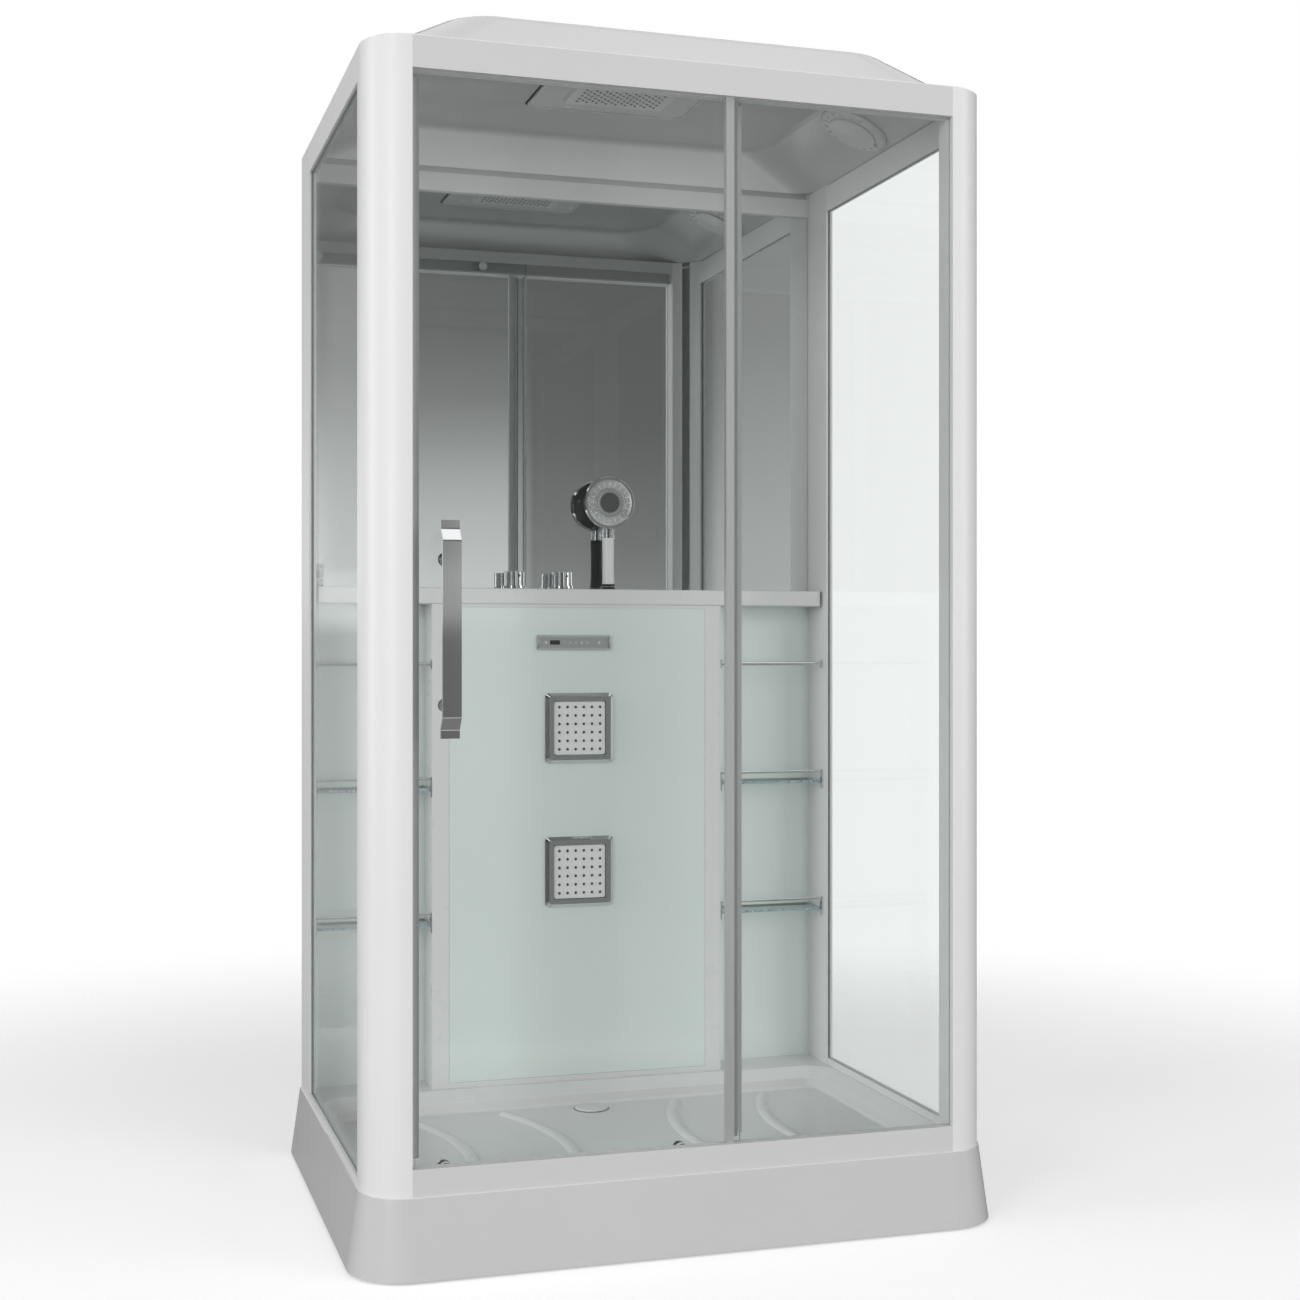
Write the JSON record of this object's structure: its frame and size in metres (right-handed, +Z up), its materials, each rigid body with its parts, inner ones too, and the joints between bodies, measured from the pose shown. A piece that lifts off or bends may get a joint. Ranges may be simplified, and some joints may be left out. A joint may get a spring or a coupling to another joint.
{
  "type": "shower cabin",
  "caption": "Rectangular shower cabin: moulded tray, sliding glass front door, mirrored rear wall with fitted column and niches, domed roof.",
  "frame": {"origin": "middle of the footprint, on the floor", "axes": "+X to the right seen from the front, +Y to the rear wall, +Z up"},
  "size_m": [1.2, 0.9, 2.186],
  "materials": {
    "tray_acrylic": "smooth glossy moulded sheet",
    "white_profile": "satin white coat on extruded profile",
    "white_moulding": "satin white moulding",
    "clear_glass": "clear polished, faintly green at the edges",
    "shelf_glass": "clear polished with green edges",
    "pale_glass": "back-coated pale green, polished face",
    "mirror": "silvered, polished",
    "satin_aluminium": "satin anodised",
    "chrome": "polished",
    "brass": "cast and turned",
    "zinc_steel": "zinc plated",
    "rubber": "matt",
    "seal_plastic": "translucent grey, soft",
    "wheel_plastic": "smooth moulded",
    "white_plastic": "glossy moulded",
    "nozzle_plastic": "satin moulded with soft nozzles",
    "spray_plastic": "satin metal-coated with dark nozzles",
    "black_plastic": "glossy moulded",
    "trap_plastic": "moulded",
    "pipe_plastic": "extruded",
    "control_plastic": "grey touch face"
  },
  "bodies": {
    "cabin": {"shower_tray": "tray_acrylic", "roof_dome": "tray_acrylic", "drain_flange": "brass", "drain_gasket": "rubber", "drain_trap": "trap_plastic", "tray_frame": "zinc_steel", "levelling_feet": "zinc_steel", "foot_lock_nuts": "zinc_steel", "right_front_post": "white_profile", "left_front_post": "white_profile", "rear_profiles": "white_profile", "front_top_rail": "white_profile", "front_bottom_rail": "white_profile", "side_top_rails": "white_profile", "side_sills": "white_profile", "rear_top_rail": "white_profile", "rear_sill": "white_profile", "side_glasses": "clear_glass", "fixed_front_glass": "clear_glass", "fixed_edge_profile": "satin_aluminium", "overlap_seal": "seal_plastic", "mirror": "mirror", "ledge": "white_moulding", "column_housing": "white_moulding", "column_glass": "pale_glass", "niche_panels": "pale_glass", "shelf_glasses": "shelf_glass", "shelf_rails": "chrome", "shelf_end_plates": "chrome", "control_bezel": "satin_aluminium", "control_face": "control_plastic", "control_unit": "trap_plastic", "jet_frames": "chrome", "jet_plates": "nozzle_plastic", "jet_chambers": "trap_plastic", "mixer_valve": "brass", "diverter_valve": "brass", "supply_pipes": "pipe_plastic", "handset_socket": "black_plastic", "rain_surround": "white_plastic", "rain_face": "nozzle_plastic", "ceiling_fitting_ring": "white_plastic", "ceiling_fitting_disc": "white_plastic"},
    "door": {"door_glass": "clear_glass", "door_closing_seal": "seal_plastic", "door_trailing_profile": "satin_aluminium", "outer_handle": "chrome", "handle_standoffs": "chrome", "roller_axles": "chrome"},
    "lower_left_roller": {"lower_left_wheel": "wheel_plastic"},
    "lower_right_roller": {"lower_right_wheel": "wheel_plastic"},
    "upper_left_roller": {"upper_left_wheel": "wheel_plastic"},
    "upper_right_roller": {"upper_right_wheel": "wheel_plastic"},
    "mixer_control": {"mixer_knob": "chrome"},
    "diverter_control": {"diverter_knob": "chrome"},
    "handset": {"handset_grip": "white_plastic", "handset_body": "chrome"},
    "spray_selector": {"spray_face": "spray_plastic"},
    "drain_lid": {"drain_cover": "white_plastic"}
  },
  "joints": [
    {"name": "door_slide", "type": "slide", "parent": "cabin", "child": "door", "axis": [1, 0, 0], "range_m": [0, 0.39]},
    {"name": "lower_left_roller_turn", "type": "hinge", "parent": "door", "child": "lower_left_roller", "pos_m": [-0.438, -0.3955, 0.1765], "axis": [0, 1, 0], "range_deg": [0, 2040]},
    {"name": "lower_right_roller_turn", "type": "hinge", "parent": "door", "child": "lower_right_roller", "pos_m": [-0.015, -0.3955, 0.1765], "axis": [0, 1, 0], "range_deg": [0, 2040]},
    {"name": "upper_left_roller_turn", "type": "hinge", "parent": "door", "child": "upper_left_roller", "pos_m": [-0.438, -0.3955, 2.056], "axis": [0, 1, 0], "range_deg": [0, 2040]},
    {"name": "upper_right_roller_turn", "type": "hinge", "parent": "door", "child": "upper_right_roller", "pos_m": [-0.015, -0.3955, 2.056], "axis": [0, 1, 0], "range_deg": [0, 2040]},
    {"name": "mixer_turn", "type": "hinge", "parent": "cabin", "child": "mixer_control", "pos_m": [-0.1335, 0.38725, 1.21], "axis": [0, 0, 1], "range_deg": [-100, 100]},
    {"name": "diverter_turn", "type": "hinge", "parent": "cabin", "child": "diverter_control", "pos_m": [-0.028, 0.38725, 1.21], "axis": [0, 0, 1], "range_deg": [-140, 140]},
    {"name": "handset_lift", "type": "slide", "parent": "cabin", "child": "handset", "axis": [0, 0, 1], "range_m": [0, 0.05]},
    {"name": "spray_turn", "type": "hinge", "parent": "handset", "child": "spray_selector", "pos_m": [0.076, 0.37425, 1.38], "axis": [0, -1, 0], "range_deg": [-60, 60]},
    {"name": "drain_cover_lift", "type": "slide", "parent": "cabin", "child": "drain_lid", "axis": [0, 0, 1], "range_m": [0, 0.03]}
  ],
  "couplings": [
    {"joint": "lower_left_roller_turn", "follows": "door_slide", "rad_per_m": 90.909},
    {"joint": "lower_right_roller_turn", "follows": "door_slide", "rad_per_m": 90.909},
    {"joint": "upper_left_roller_turn", "follows": "door_slide", "rad_per_m": 90.909},
    {"joint": "upper_right_roller_turn", "follows": "door_slide", "rad_per_m": 90.909}
  ]
}
